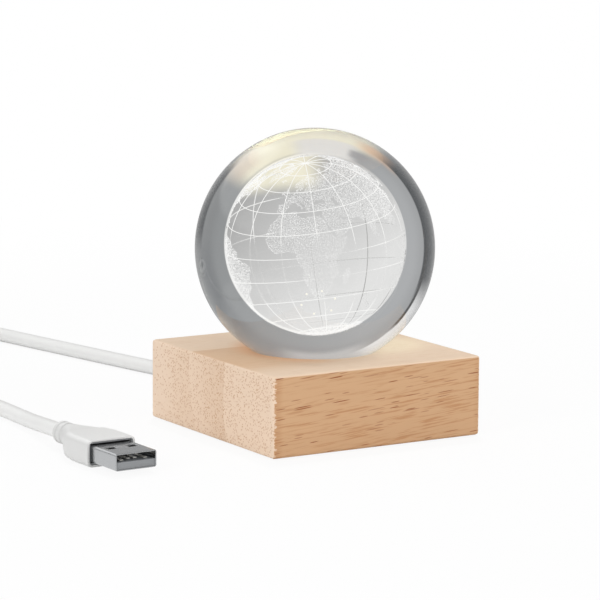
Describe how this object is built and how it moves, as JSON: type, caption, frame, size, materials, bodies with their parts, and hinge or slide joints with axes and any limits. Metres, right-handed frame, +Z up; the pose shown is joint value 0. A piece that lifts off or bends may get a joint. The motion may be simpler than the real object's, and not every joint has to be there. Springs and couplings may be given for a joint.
{
  "type": "crystal ball lamp",
  "caption": "Solid glass ball with a globe's graticule engraved inside it, resting in a bowl cut in a square wooden base, lit from below by a light board in the base, with a white cord that ends in a flat plug.",
  "frame": {"origin": "on the table, under the middle of the square base", "axes": "+Z up through the middle of the glass ball; -Y out of the base's long-grain front face, -X out of its end-grain face, +Y out of the back, where the cord leaves"},
  "size_m": [0.1191, 0.247, 0.0818],
  "materials": {
    "crystal": "polished clear",
    "beech": "oiled, fine sanded",
    "rubber": "matt",
    "cover_board": "matt",
    "screw_steel": "zinc plated",
    "white_laminate": "satin",
    "lamp_body": "satin",
    "resistor_body": "matt",
    "cord_jacket": "satin",
    "red_insulation": "satin",
    "black_insulation": "satin",
    "nylon_tie": "satin",
    "strap": "napped",
    "plug_plastic": "satin, moulded",
    "shell_steel": "nickel plated, bright",
    "tongue_plastic": "satin",
    "contact_gold": "gold plated"
  },
  "bodies": {
    "base": {"wooden_base": "beech", "bottom_cover": "cover_board", "led_board": "white_laminate", "foot_1": "rubber", "foot_2": "rubber", "foot_3": "rubber", "foot_4": "rubber", "cover_screw_1": "screw_steel", "cover_screw_2": "screw_steel", "cover_screw_3": "screw_steel", "cover_screw_4": "screw_steel", "board_screw_1": "screw_steel", "board_screw_2": "screw_steel", "led_1": "lamp_body", "led_2": "lamp_body", "led_3": "lamp_body", "led_4": "lamp_body", "led_5": "lamp_body", "led_6": "lamp_body", "resistor_1": "resistor_body", "resistor_2": "resistor_body", "wire_positive": "red_insulation", "wire_negative": "black_insulation", "cord_tail": "cord_jacket", "cord_stop_tie": "nylon_tie", "cord_bush": "plug_plastic", "cord_run_lamp": "cord_jacket", "cord_coil": "cord_jacket", "coil_tie": "strap", "cord_run_plug": "cord_jacket", "plug_grip": "plug_plastic", "plug_shell": "shell_steel", "plug_tongue": "tongue_plastic", "plug_contact_1": "contact_gold", "plug_contact_2": "contact_gold", "plug_contact_3": "contact_gold", "plug_contact_4": "contact_gold"},
    "ball": {"crystal_ball": "crystal"}
  },
  "joints": [
    {"name": "ball_lift", "type": "slide", "parent": "base", "child": "ball", "axis": [0, 0, 1], "range_m": [0, 0.03]}
  ]
}
